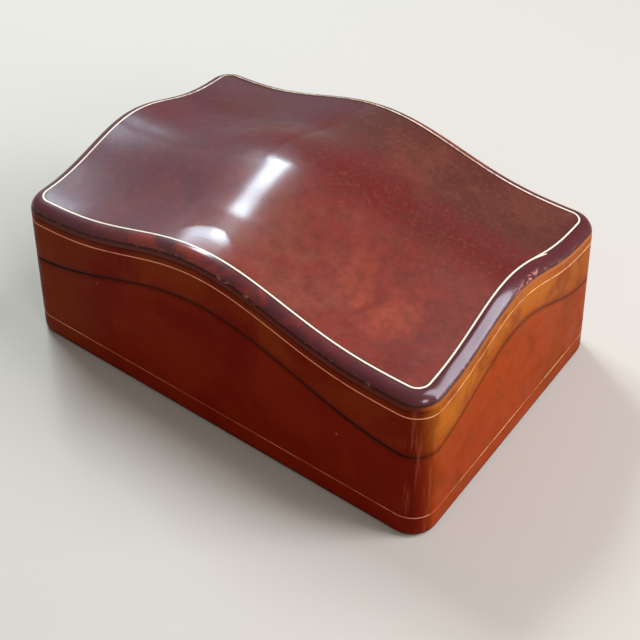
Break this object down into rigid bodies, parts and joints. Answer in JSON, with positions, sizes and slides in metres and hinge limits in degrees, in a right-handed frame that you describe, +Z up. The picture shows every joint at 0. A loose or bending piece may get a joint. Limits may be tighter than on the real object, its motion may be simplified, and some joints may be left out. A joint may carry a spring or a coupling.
{
  "type": "stationery box",
  "caption": "Leather-covered wooden box for papers, with a lift-off lid whose moulded top and seam rise in a soft wave on all four sides.",
  "frame": {"origin": "centre of the underside, on the surface the box stands on", "axes": "+X along the long side, -Y towards the front long side, +Z up, the way the lid lifts"},
  "size_m": [0.2546, 0.1706, 0.1201],
  "materials": {
    "top_leather": "polished oxblood leather",
    "side_leather": "polished chestnut leather",
    "suede": "brown suede",
    "lining": "soft tan-red skiver lining",
    "board": "plain poplar board"
  },
  "bodies": {
    "base": {"underside_pad": "suede", "bottom_board": "board", "wall_front": "board", "wall_right": "board", "wall_back": "board", "wall_left": "board", "side_leather": "side_leather", "floor_lining": "lining", "liner_front": "lining", "liner_right": "lining", "liner_back": "lining", "liner_left": "lining"},
    "lid": {"lid_wall_front": "board", "lid_wall_right": "board", "lid_wall_back": "board", "lid_wall_left": "board", "lid_panel": "board", "lid_side_leather": "side_leather", "lid_top_leather": "top_leather", "lid_top_lining": "lining", "lid_lining_front": "lining", "lid_lining_right": "lining", "lid_lining_back": "lining", "lid_lining_left": "lining"}
  },
  "joints": [
    {"name": "lid_lift", "type": "slide", "parent": "base", "child": "lid", "axis": [0, 0, 1], "range_m": [0, 0.06]}
  ]
}
